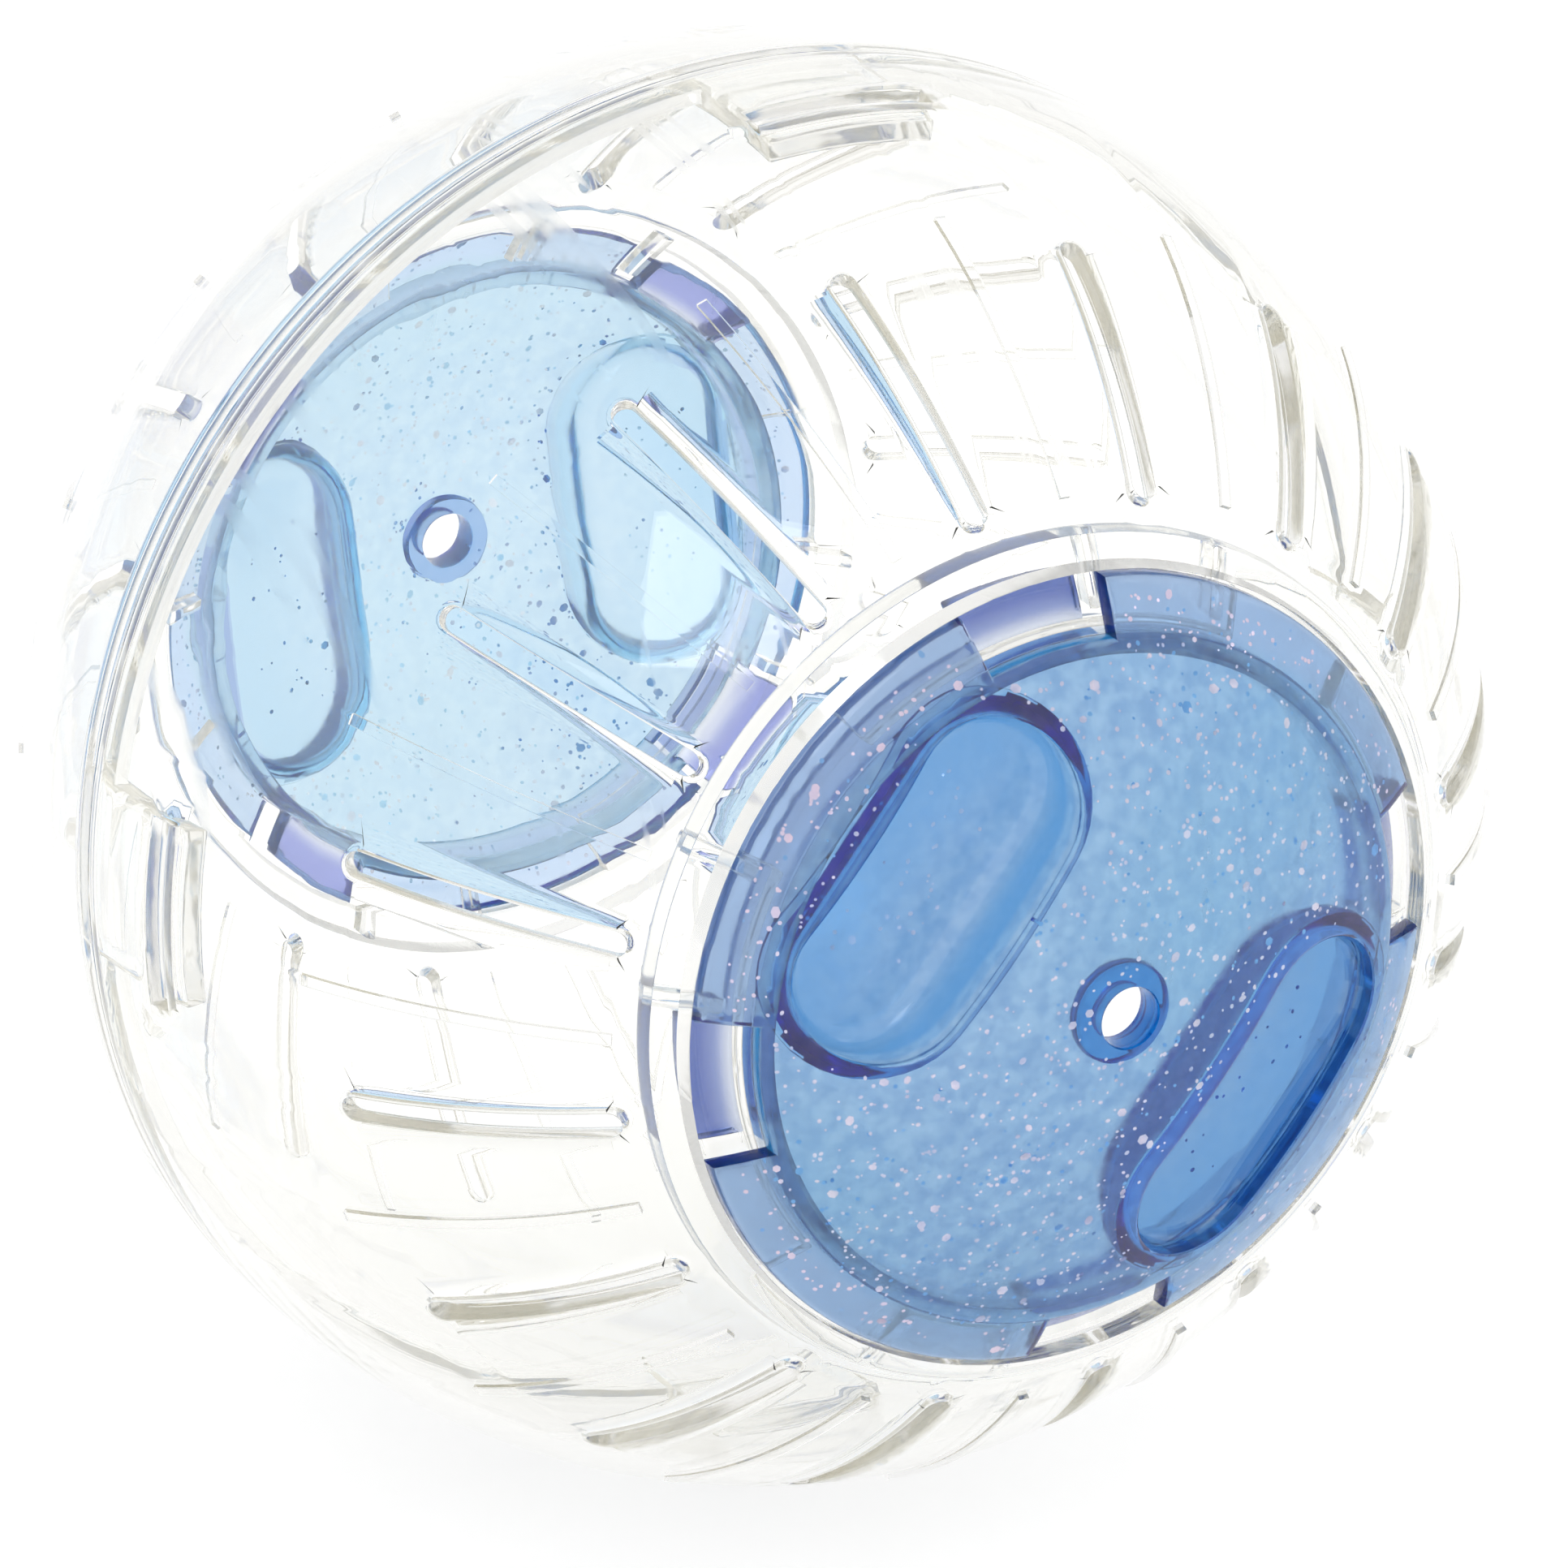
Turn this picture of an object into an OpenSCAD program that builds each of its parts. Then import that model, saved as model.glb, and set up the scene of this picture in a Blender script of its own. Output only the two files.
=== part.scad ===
// Hamster exercise ball: two clear halves that snap together round a seam,
// and a tinted twist lid with two finger pockets at each end of the ball's axis.
// Each piece is shaped with its pole on +Z and then turned to the front (-Y) or the rear (+Y).

/* [Ball] */
// Outside diameter of the closed ball
ball_d = 120; // [114:1:150]
// Wall of the clear halves
wall_t = 1.8; // [1.4:0.1:2.2]
// Bevel along both outer edges of the seam
seam_bevel = 0.4; // [0.2:0.1:0.8]

/* [Lids] */
// Diameter of a lid at its rim
lid_d = 65; // [63:0.5:70]
// Thickness of a lid's dome
lid_t = 1.8; // [1.4:0.1:2.2]
// Bevel round the lid's rim
lid_bevel = 0.5; // [0.2:0.1:0.8]
// Thickness of the skirt that stands in the opening
skirt_t = 1.6; // [1.2:0.1:2]
// Turn of both locked lids, measured from the snap clips
lock_turn = 8; // [0:1:10]
// Turn from locked to open
open_turn = 45; // [45:1:45]

/* [Lid lugs] */
// Number of lugs round a lid
lug_count = 4; // [2:2:4]
// Width of a lug, as an angle
lug_span = 20; // [14:1:22]
// How far a lug stands out from the skirt
lug_reach = 3.3; // [2.4:0.1:3.4]
// Thickness of a lug
lug_t = 1.8; // [1.4:0.1:2.4]
// Extra width of the window in the rim above a lug, as an angle
lug_window_extra = 2; // [1:0.5:4]

/* [Lid seat] */
// Width of the ledge that a lid sits on
ledge_w = 4.4; // [4.2:0.1:5]
// Thickness of the ledge
ledge_t = 1.6; // [1.2:0.1:2.2]
// Thickness of the step that carries the ledge
riser_t = 1.6; // [1.2:0.1:2.2]
// Gap between a lid's rim and the step round it
rim_gap = 0.4; // [0.3:0.05:0.6]
// Running gap between a lid and the ledge
run_gap = 0.3; // [0.25:0.05:0.4]
// Lead-in of an entry notch on a lug's locking side, as an angle
entry_lead = 3; // [1:0.5:6]
// Width of a stop under the ledge, as an angle
stop_span = 2; // [1:0.5:3]
// Height of a stop under the ledge
stop_h = 1.7; // [1.2:0.1:2]

/* [Finger pockets] */
// Length of a pocket
pocket_len = 29; // [24:0.5:30]
// Width of a pocket
pocket_w = 13; // [11:0.5:13]
// Distance from the skirt's inner face to a pocket's outer side
pocket_margin = 1.5; // [1.5:0.1:2.4]
// Depth of the flat floors below the lid's crown
pocket_drop = 8.4; // [7:0.1:8.8]
// Radius round the edge of a pocket's floor
pocket_fillet = 1.5; // [1:0.1:2]
// Wall of the cup that forms a pocket
cup_t = 1.4; // [1.1:0.1:1.6]

/* [Axle hole] */
// Diameter of the hole at a lid's centre
hole_d = 5; // [3:0.5:5.5]
// Diameter of the hub round the hole
hub_d = 8; // [7:0.5:9]
// Length of the hub, from the crown inwards
hub_len = 3; // [2.6:0.1:5]

/* [Vents] */
// Number of vent slots in each half
vent_count = 16; // [8:4:20]
// Width of a vent slot
vent_w = 2; // [1.6:0.1:2.6]
// Length of a vent slot
vent_len = 23.4; // [18:0.2:24]
// Angle from the edge of the lid's seat to the middle of a slot
vent_back = 16.75; // [16.75:0.25:20]
// Width of the raised rib between two slots
rib_w = 0.9; // [0.6:0.1:1.4]
// Height of the rib above the wall
rib_h = 0.4; // [0.3:0.1:0.8]
// Angle from the middle of a slot back to the near end of a rib
rib_back = 11; // [6:0.5:12]
// Angle from the middle of a slot on to the far end of a rib
rib_on = 14; // [10:0.5:16]

/* [Seam] */
// Number of snap clips round the seam
clip_count = 4; // [3:1:6]
// Width of a clip's tongue, as an angle
clip_span = 15; // [10:1:20]
// Thickness of a tongue
tongue_t = 1.5; // [1.2:0.1:1.8]
// Length of a tongue past the seam
tongue_reach = 12.2; // [11.8:0.1:14]
// Length of a tongue's root inside its own half
tongue_root = 5; // [4:0.5:8]
// Distance from the seam to a tongue's hook
hook_at = 9.5; // [8:0.1:9.6]
// Width of the hook along the axis
hook_w = 1.7; // [1.4:0.1:2]
// Height of the hook
hook_h = 1.4; // [1:0.1:1.6]
// Flat land on the hook before its ramp
hook_land = 0.5; // [0.3:0.1:0.8]
// Gap round a hook in its window, and between the nested walls
clip_gap = 0.25; // [0.2:0.05:0.35]
// Reach of the locating lip past the seam
lip_reach = 1.6; // [1:0.1:2.4]
// Thickness of the locating lip
lip_t = 1.1; // [0.9:0.1:1.3]
// Set-back of the tongues behind the lip's face
tongue_relief = 0.1; // [0.1:0.05:0.2]

/* [Hidden] */
$fn = 144;

// Overrun of every cut past the surface that it opens
eps = 1;

clear_plastic = [0.90, 0.93, 0.95, 0.45];
blue_plastic = [0.50, 0.68, 0.88, 0.85];

quarter = 90;
half_turn = 180;
full_turn = 360;

ball_r = ball_d / 2;
inner_r = ball_r - wall_t;

// Lid sizes, as radii from the axis or from the ball's centre
lid_r = lid_d / 2;
lid_inner_r = ball_r - lid_t;
lid_core_r = ball_r - lid_t / 2;
seat_r = lid_r + rim_gap;
opening_r = seat_r - ledge_w;
skirt_r = opening_r - run_gap;
skirt_inner_r = skirt_r - skirt_t;
skirt_core_r = skirt_r - skirt_t / 2;
lug_tip_r = skirt_r + lug_reach;

// Layers of the lid's seat, from the outside inwards
ledge_top_r = lid_inner_r - run_gap;
ledge_low_r = ledge_top_r - ledge_t;
lug_top_r = ledge_low_r - run_gap;
lug_low_r = lug_top_r - lug_t;
stop_low_r = ledge_low_r - stop_h;
ledge_core_r = ledge_low_r + ledge_t / 2;
lug_stop_r = opening_r + run_gap;
riser_r = seat_r + riser_t;
riser_core_r = seat_r + riser_t / 2;
gap_turn = run_gap / skirt_r * half_turn / PI;
entry_span = entry_lead + lug_span + gap_turn;
entry_turn = (gap_turn - entry_lead) / 2;
stop_turn = lug_span / 2 + 2 * gap_turn + stop_span / 2;

// A lid's lugs lie midway between its two pockets
pocket_turns = [0, half_turn];
lug_turn = full_turn / lug_count / 2;

// The front lid's pockets lie on a slant, and the rear lid's lie level
front_lid_turn = quarter + quarter / 2 + lock_turn;
rear_lid_turn = -lock_turn;

pocket_off = skirt_inner_r - pocket_margin - pocket_w / 2;
pocket_floor_z = ball_r - pocket_drop;
hub_low_z = ball_r - hub_len;

vent_pitch = full_turn / vent_count;
vent_at = asin(seat_r / ball_r) + vent_back;
vent_sag = ball_r - sqrt(ball_r * ball_r - vent_len * vent_len / 4);

lip_r = inner_r - clip_gap;
tongue_r = lip_r - tongue_relief;
hook_top_z = hook_at + hook_w;

// Distance from the axis of a sphere's surface at height z
function reach_at(r, z) = sqrt(r * r - z * z);

// The part of a spherical layer's section that lies in a box of radius and height
module layer_section(outer, inner, from_r, to_r, from_z, to_z) {
    intersection() {
        difference() {
            circle(outer);
            circle(inner);
        }
        translate([from_r, from_z])
            square([to_r - from_r, to_z - from_z]);
    }
}

// That section swept round the axis over a span that is centred on a direction
module layer_sector(outer, inner, from_r, to_r, from_z, to_z, span, at) {
    rotate(at - span / 2)
        rotate_extrude(angle = span)
            layer_section(outer, inner, from_r, to_r, from_z, to_z);
}

module around(count, first = 0) {
    for (i = [0 : count - 1])
        rotate(first + i * full_turn / count)
            children();
}

module bevel_cut(depth) {
    rotate(quarter / 2)
        square(depth * sqrt(2), center = true);
}

// Outline with straight sides and round ends, along X
module obround(length, width) {
    square([length - width, width], center = true);
    for (side = [-1, 1])
        translate([side * (length - width) / 2, 0])
            circle(width / 2);
}

// Section of a pocket from its middle line outwards, with a round floor edge
module pocket_section(half_w, height, fillet) {
    translate([0, fillet])
        square([half_w, height - fillet]);
    square([half_w - fillet, fillet]);
    intersection() {
        translate([half_w - fillet, fillet])
            circle(fillet);
        translate([half_w - fillet, 0])
            square([fillet, fillet]);
    }
}

// A pocket's space, or its cup's outside, with its floor at height zero
module pocket_form(length, width, height, fillet) {
    straight = length - width;
    for (side = [-1, 1])
        translate([0, side * straight / 2, 0])
            rotate_extrude()
                pocket_section(width / 2, height, fillet);
    rotate([quarter, 0, 0])
        linear_extrude(height = straight, center = true) {
            pocket_section(width / 2, height, fillet);
            mirror([1, 0])
                pocket_section(width / 2, height, fillet);
        }
}

// Wall of one half, with the stepped seat for its lid
module shell_wall() {
    rotate_extrude() {
        difference() {
            layer_section(ball_r, inner_r, seat_r, ball_r, 0, ball_r);
            translate([ball_r, 0])
                bevel_cut(seam_bevel);
        }
        layer_section(ball_r, ledge_low_r, seat_r, riser_r, 0, ball_r);
        layer_section(ledge_top_r, ledge_low_r, opening_r, riser_r, 0, ball_r);
    }
}

module vent_cut() {
    rotate([0, vent_at, 0])
        translate([0, 0, inner_r - vent_sag - eps])
            linear_extrude(height = wall_t + vent_sag + 2 * eps)
                obround(vent_len, vent_w);
}

// A thin fin in a meridian's plane, sunk halfway into the wall
module grip_rib() {
    rib_from = vent_at - rib_back;
    rib_to = vent_at + rib_on;
    rotate([quarter, 0, 0])
        linear_extrude(height = rib_w, center = true)
            intersection() {
                difference() {
                    circle(ball_r + rib_h);
                    circle(ball_r - wall_t / 2);
                }
                polygon([
                    [0, 0],
                    [2 * ball_r * sin(rib_from), 2 * ball_r * cos(rib_from)],
                    [2 * ball_r * sin(rib_to), 2 * ball_r * cos(rib_to)]
                ]);
            }
}

// Way in for a lug, through the ledge
module entry_cut() {
    entry_r = lug_tip_r + rim_gap;
    layer_sector(ball_r, stop_low_r - eps, opening_r - eps, entry_r, 0, ball_r, entry_span, entry_turn);
}

// Stop that hangs under the ledge in a lug's way
module lug_stop(at) {
    layer_sector(ledge_core_r, stop_low_r, lug_stop_r, riser_core_r, 0, ball_r, stop_span, at);
}

// One clear half, whose lid's lugs are locked at the angle given
module shell_half(locked_at) {
    difference() {
        union() {
            shell_wall();
            around(vent_count)
                grip_rib();
            around(lug_count, locked_at) {
                lug_stop(-stop_turn);
                lug_stop(open_turn + stop_turn);
            }
        }
        around(vent_count, vent_pitch / 2)
            vent_cut();
        around(lug_count, locked_at + open_turn)
            entry_cut();
    }
}

// Barb at a tongue's end: square towards the seam, and a ramp towards the pole
module hook_section() {
    low_r = reach_at(tongue_r, hook_at);
    top_r = reach_at(tongue_r, hook_top_z);
    polygon([
        [low_r - tongue_t / 2, hook_at],
        [low_r + hook_h, hook_at],
        [low_r + hook_h, hook_at + hook_land],
        [top_r, hook_top_z],
        [top_r - tongue_t / 2, hook_top_z]
    ]);
}

module snap_tongue() {
    rotate(-clip_span / 2)
        rotate_extrude(angle = clip_span) {
            layer_section(tongue_r, tongue_r - tongue_t, 0, ball_r, -eps, tongue_reach);
            layer_section(inner_r + wall_t / 2, tongue_r - tongue_t, 0, ball_r, -tongue_root, 0);
            hook_section();
        }
}

// Lip that centres one half in the other, with its foot inside its own half
module locating_lip() {
    rotate_extrude() {
        layer_section(lip_r, lip_r - lip_t, 0, ball_r, -eps, lip_reach);
        layer_section(inner_r + wall_t / 2, lip_r - lip_t, 0, ball_r, -2 * lip_reach, 0);
    }
}

module clip_window() {
    window_span = clip_span + 2 * clip_gap / ball_r * half_turn / PI;
    layer_sector(ball_r + eps, inner_r - eps, 0, ball_r + eps,
        hook_at - clip_gap, hook_top_z + clip_gap, window_span, 0);
}

module lid_body() {
    rotate_extrude() {
        difference() {
            layer_section(ball_r, lid_inner_r, 0, lid_r, 0, ball_r);
            translate([lid_r, reach_at(ball_r, lid_r)])
                bevel_cut(lid_bevel);
        }
        layer_section(lid_core_r, lug_low_r, skirt_inner_r, skirt_r, 0, ball_r);
    }
}

module lid_lug() {
    layer_sector(lug_top_r, lug_low_r, skirt_core_r, lug_tip_r, 0, ball_r, lug_span, 0);
}

// Window in the rim, straight above a lug
module rim_window() {
    window_span = lug_span + lug_window_extra;
    layer_sector(ball_r + eps, ledge_low_r, skirt_r, lid_r + eps, 0, ball_r, window_span, 0);
}

module pocket_cup() {
    intersection() {
        translate([pocket_off, 0, pocket_floor_z - cup_t])
            pocket_form(pocket_len + 2 * cup_t, pocket_w + 2 * cup_t,
                pocket_drop + cup_t, pocket_fillet + cup_t);
        sphere(lid_core_r);
        cylinder(r = skirt_core_r, h = ball_r);
    }
}

module pocket_space() {
    translate([pocket_off, 0, pocket_floor_z])
        pocket_form(pocket_len, pocket_w, pocket_drop + eps, pocket_fillet);
}

module axle_hub() {
    translate([0, 0, hub_low_z])
        cylinder(d = hub_d, h = lid_core_r - hub_low_z);
}

module axle_hole() {
    translate([0, 0, hub_low_z - eps])
        cylinder(d = hole_d, h = hub_len + 2 * eps);
}

module lid() {
    difference() {
        union() {
            lid_body();
            around(lug_count, lug_turn)
                lid_lug();
            for (turn = pocket_turns)
                rotate(turn)
                    pocket_cup();
            axle_hub();
        }
        around(lug_count, lug_turn)
            rim_window();
        for (turn = pocket_turns)
            rotate(turn)
                pocket_space();
        axle_hole();
    }
}

module face_front() {
    rotate([quarter, 0, 0])
        children();
}

module face_rear() {
    rotate([-quarter, 0, 0])
        children();
}

module front_shell() {
    color(clear_plastic)
        face_front()
            difference() {
                shell_half(front_lid_turn + lug_turn);
                around(clip_count)
                    clip_window();
            }
}

module rear_shell() {
    color(clear_plastic)
        face_rear() {
            shell_half(rear_lid_turn + lug_turn);
            mirror([0, 0, 1]) {
                locating_lip();
                around(clip_count)
                    snap_tongue();
            }
        }
}

module front_lid() {
    color(blue_plastic)
        face_front()
            rotate(front_lid_turn)
                lid();
}

module rear_lid() {
    color(blue_plastic)
        face_rear()
            rotate(rear_lid_turn)
                lid();
}

front_shell();
rear_shell();
front_lid();
rear_lid();
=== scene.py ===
import math
import random

import bmesh
import bpy
from mathutils import Matrix, Vector
from mathutils.geometry import delaunay_2d_cdt


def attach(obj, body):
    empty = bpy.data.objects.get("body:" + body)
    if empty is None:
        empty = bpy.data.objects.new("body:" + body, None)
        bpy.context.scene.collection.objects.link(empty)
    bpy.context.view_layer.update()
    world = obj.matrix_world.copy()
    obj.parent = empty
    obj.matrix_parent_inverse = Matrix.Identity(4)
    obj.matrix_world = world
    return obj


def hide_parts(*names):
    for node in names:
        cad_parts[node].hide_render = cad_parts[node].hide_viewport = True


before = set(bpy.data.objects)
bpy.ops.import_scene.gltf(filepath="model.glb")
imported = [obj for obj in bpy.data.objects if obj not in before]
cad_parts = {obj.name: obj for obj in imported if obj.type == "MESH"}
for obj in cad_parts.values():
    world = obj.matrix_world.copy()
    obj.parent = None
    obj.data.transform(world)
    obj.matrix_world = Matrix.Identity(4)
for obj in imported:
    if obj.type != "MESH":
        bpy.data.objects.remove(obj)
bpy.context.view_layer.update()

# Sizes of the ball in millimetres. Pieces are shaped with their pole on +Z and then set in place.
MM = 0.001
BALL_R = 60.0
WALL_T = 1.8
INNER_R = BALL_R - WALL_T
SEAM_GAP = 0.03

# Rounds on edges, the least angle of an edge that is rounded, and the most that is shaded smooth
EDGE_ROUND = 0.2
SKIRT_ROUND = 0.25
SHARP_FROM = math.radians(42)
SMOOTH_TO = math.radians(35)

# How near a point has to lie to an edge or a face to count as on it, in millimetres and degrees
ON_EDGE = 0.02
ON_EDGE_TURN = 0.05
ON_FACE = 0.1

# The stepped seat for a lid
SEAT_R = 32.9
RISER_R = 34.5
OPENING_R = 28.5
NOTCH_R = 31.9
LEDGE_TOP_R = 57.9
LEDGE_LOW_R = 56.3
STOP_LOW_R = 54.6
STOP_FROM_R = 29.1
STOP_TO_R = 33.7
LEDGE_MID_R = 30.5

# Vent slots and the ribs between them
VENT_COUNT = 16
VENT_AT = math.degrees(math.asin(SEAT_R / BALL_R)) + 16.75
VENT_HALF_W = 1.0
VENT_HALF_STRAIGHT = 10.7
RIB_HALF_W = 0.45
RIB_H = 0.4
RIB_BACK = 11.0
RIB_ON = 14.0

# Snap clips round the seam, and the lip that centres the halves
CLIP_HALF = 7.5
WINDOW_HALF = 7.74
HOOK_Z = 9.5
HOOK_LAND = 0.5
HOOK_TOP_Z = 11.2
HOOK_H = 1.4
CLIP_GAP = 0.25
TONGUE_Z = 12.2
TONGUE_R = 57.85
TONGUE_T = 1.5
LIP_R = 57.95
LIP_T = 1.1
LIP_REACH = 1.6
LIP_FOOT_Z = 3.2
LIP_MID_Z = 1.2
TONGUE_ROW_ZS = (3.6, 5.6, 7.6)

# The lids
LID_R = 32.5
LID_T = 1.8
LID_INNER_R = BALL_R - LID_T
LID_ROUND = 0.5
SKIRT_R = 28.2
SKIRT_INNER_R = 26.6
SKIRT_TOP_R = 58.45
WINDOW_BACK_R = 28.25
LUG_TIP_R = 31.5
LUG_TOP_R = 56.0
LUG_LOW_R = 54.2
LUG_HALF = 10.0
LUG_WINDOW_HALF = 11.0
LUG_COUNT = 4
LUG_TURN = 45.0
POCKET_HALF_W = 6.5
POCKET_STRAIGHT = 16.0
POCKET_OFF = 18.6
POCKET_FLOOR_Z = 51.6
POCKET_FILLET = 1.5
MOUTH_ROUND = 0.45
CUP_T = 1.4
HOLE_R = 2.5
HOLE_STEP = 7.5
HUB_R = 4.0
HUB_LOW_Z = 57.0

# Turns of the lids and of their locked lugs about the pole
FRONT_LID_TURN = 143.0
REAR_LID_TURN = -8.0
OPEN_TURN = 45.0
ENTRY_TURN = -1.195
ENTRY_SPAN = 23.61
STOP_TURN = 12.22
STOP_HALF = 1.0

TO_FRONT = Matrix.Rotation(math.radians(90), 4, "X")
TO_REAR = Matrix.Rotation(math.radians(-90), 4, "X")


def polar(r, turn, z):
    """A point at a distance from the pole's axis, a turn in degrees and a height."""
    a = math.radians(turn)
    return Vector((r * math.cos(a), r * math.sin(a), z))


def turn_of(place):
    """A point's turn about the pole, in degrees."""
    return math.degrees(math.atan2(place.y, place.x))


def height(ball, r):
    """Height of a sphere's surface at a distance from the axis."""
    return math.sqrt(ball * ball - r * r)


def pick(obj):
    """Makes one object the only selected one."""
    bpy.ops.object.select_all(action="DESELECT")
    obj.select_set(True)
    bpy.context.view_layer.objects.active = obj


def apply_modifier(obj, kind, **settings):
    pick(obj)
    modifier = obj.modifiers.new(kind.title(), kind)
    for name, value in settings.items():
        setattr(modifier, name, value)
    bpy.ops.object.modifier_apply(modifier=modifier.name)


def grid_skin(name, rows):
    """A grid primitive whose vertices take the places in a list of rows."""
    bpy.ops.mesh.primitive_grid_add(x_subdivisions=len(rows[0]) - 1, y_subdivisions=len(rows) - 1)
    obj = bpy.context.object
    obj.name = obj.data.name = name
    places = [place for row in rows for place in row]
    for vertex, place in zip(obj.data.vertices, places):
        vertex.co = place
    return obj


def select_faces(obj, wanted):
    """Selects in edit mode the faces whose middle passes a test."""
    bpy.ops.mesh.select_mode(type="FACE")
    bpy.ops.mesh.select_all(action="DESELECT")
    mesh = bmesh.from_edit_mesh(obj.data)
    chosen = [face for face in mesh.faces if wanted(face.calc_center_median())]
    for face in chosen:
        face.select_set(True)
    mesh.select_flush_mode()
    bmesh.update_edit_mesh(obj.data)


def select_open_edges(obj, *tests):
    """Selects in edit mode the open edges whose two ends both pass one of the tests."""
    bpy.ops.mesh.select_mode(type="EDGE")
    bpy.ops.mesh.select_all(action="DESELECT")
    mesh = bmesh.from_edit_mesh(obj.data)
    for edge in mesh.edges:
        ends = [vertex.co for vertex in edge.verts]
        if edge.is_boundary and any(all(map(wanted, ends)) for wanted in tests):
            edge.select_set(True)
    bmesh.update_edit_mesh(obj.data)


def move_selected(obj, moved):
    """Moves the selected vertices in edit mode to where a function puts them."""
    mesh = bmesh.from_edit_mesh(obj.data)
    for vertex in mesh.verts:
        if vertex.select:
            vertex.co = moved(vertex.co.copy())
    bmesh.update_edit_mesh(obj.data)


def merge(obj, distance=0.004):
    pick(obj)
    bpy.ops.object.mode_set(mode="EDIT")
    bpy.ops.mesh.select_all(action="SELECT")
    bpy.ops.mesh.remove_doubles(threshold=distance)
    bpy.ops.mesh.normals_make_consistent(inside=False)
    bpy.ops.object.mode_set(mode="OBJECT")


def set_in_place(obj, matrix):
    """Smooths a finished piece, and puts its mesh in its place in metres."""
    merge(obj)
    pick(obj)
    bpy.ops.object.shade_smooth_by_angle(angle=SMOOTH_TO)
    obj.data.transform(Matrix.Scale(MM, 4) @ matrix)
    obj.data.update()
    return obj


# One quarter of a clear half: four sectors of wall, each with a vent slot, and a quarter of the seat.
# Its rows of points lie at angles in degrees from the pole.
QUARTER_FROM = -22.5
SECTOR = 360 / VENT_COUNT
SECTORS = 4
SLOT_STEPS = 8
SLOT_ROWS = 10
SIDE_TURNS = (5.4, 7.3, 9.2)
PLAIN_ANGLES = (66, 68, 70, 72, 74, 76, 77.6, 82.8, 84.6, 86.2, 87.6)
LAST_ANGLE = 89
LAST_LIP_ANGLE = 86.7
ROW_GAP = 0.3
BAND_HALF_W = 1.6

# Rows that ring a slot: distance from its middle, bow, place along the slot and half width
SLOT_RINGS = (
    (VENT_HALF_STRAIGHT, VENT_HALF_W, VENT_HALF_STRAIGHT, VENT_HALF_W),
    (BALL_R * math.sin(math.radians(RIB_BACK)), 1.45, VENT_HALF_STRAIGHT, 1.45),
    (12.6, 1.0, VENT_HALF_STRAIGHT + 1.35, BAND_HALF_W),
    (BALL_R * math.sin(math.radians(RIB_ON)), 0.4, VENT_HALF_STRAIGHT + 3.3, BAND_HALF_W),
)


def slot_axes(turn):
    """Directions along and across a vent slot, and out through its middle."""
    at = math.radians(VENT_AT)
    along = Vector((math.cos(at), 0, -math.sin(at)))
    out = Vector((math.sin(at), 0, math.cos(at)))
    spin = Matrix.Rotation(math.radians(turn), 3, "Z")
    return spin @ along, spin @ Vector((0, 1, 0)), spin @ out


def slot_place(ball, turn, u, v):
    """Point of a sphere that is u along and v across from a slot's middle."""
    along, across, out = slot_axes(turn)
    return u * along + v * across + math.sqrt(ball * ball - u * u - v * v) * out


class WallRow:
    """A row of points across the quarter, which may bow round the end of each sector's slot."""

    def __init__(self, ball, angle, bow=0.0, push=0.0, half_w=BAND_HALF_W, even=True):
        self.ball, self.angle = ball, angle
        self.bow, self.push, self.half_w, self.even = bow, push, half_w, even

    def points(self, clip_half):
        made = []
        for sector in range(SECTORS):
            middle = QUARTER_FROM + SECTOR * (sector + 0.5)
            made += [self.place(middle, step, clip_half) for step in range(self.steps())]
        middle = QUARTER_FROM + SECTOR * (SECTORS - 0.5)
        made.append(self.place(middle, self.steps(), clip_half))
        return made

    @staticmethod
    def steps():
        return SLOT_STEPS + 2 * (len(SIDE_TURNS) + 3)

    def place(self, middle, step, clip_half):
        side = len(SIDE_TURNS) + 3
        if side <= step <= side + SLOT_STEPS:
            return self.slot_point(middle, (step - side) / SLOT_STEPS * 2 - 1)
        r = self.ball * math.sin(math.radians(self.angle))
        rib = SECTOR / 2 - math.degrees(math.asin(RIB_HALF_W / r))
        turns = [SECTOR / 2, rib, *reversed(SIDE_TURNS), SECTOR / 2 - clip_half]
        turn = -turns[step] if step < side else turns[self.steps() - step]
        return polar(r, middle + turn, self.ball * math.cos(math.radians(self.angle)))

    def slot_point(self, middle, share):
        theta = share * math.pi / 2
        sine = share if self.even else math.sin(theta)
        side = 1 if self.angle > VENT_AT else -1
        base = self.ball * math.sin(math.radians(abs(self.angle - VENT_AT)))
        u = self.push + self.bow * math.cos(theta) if self.push else base
        return slot_place(self.ball, middle, side * u, self.half_w * sine)


def wall_rows(ball, from_angle, to_angle, window_zs=()):
    """Rows down a wall between two angles from the pole, the last one left out."""
    reach = lambda u: math.degrees(math.asin(u / ball))
    rows = []
    for side in (-1, 1):
        for u, bow, push, half_w in SLOT_RINGS:
            rows.append(WallRow(ball, VENT_AT + side * reach(u), bow, push, half_w, even=False))
    slot_reach = reach(VENT_HALF_STRAIGHT)
    for i in range(1, SLOT_ROWS):
        angle = VENT_AT - slot_reach + 2 * slot_reach * i / SLOT_ROWS
        rows.append(WallRow(ball, angle, half_w=VENT_HALF_W, even=False))
    rows += [WallRow(ball, math.degrees(math.acos(z / ball))) for z in window_zs]
    rows += [WallRow(ball, angle) for angle in PLAIN_ANGLES]
    kept = [row for row in rows if from_angle + ROW_GAP < row.angle < to_angle]
    return sorted(kept, key=lambda row: row.angle)


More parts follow.
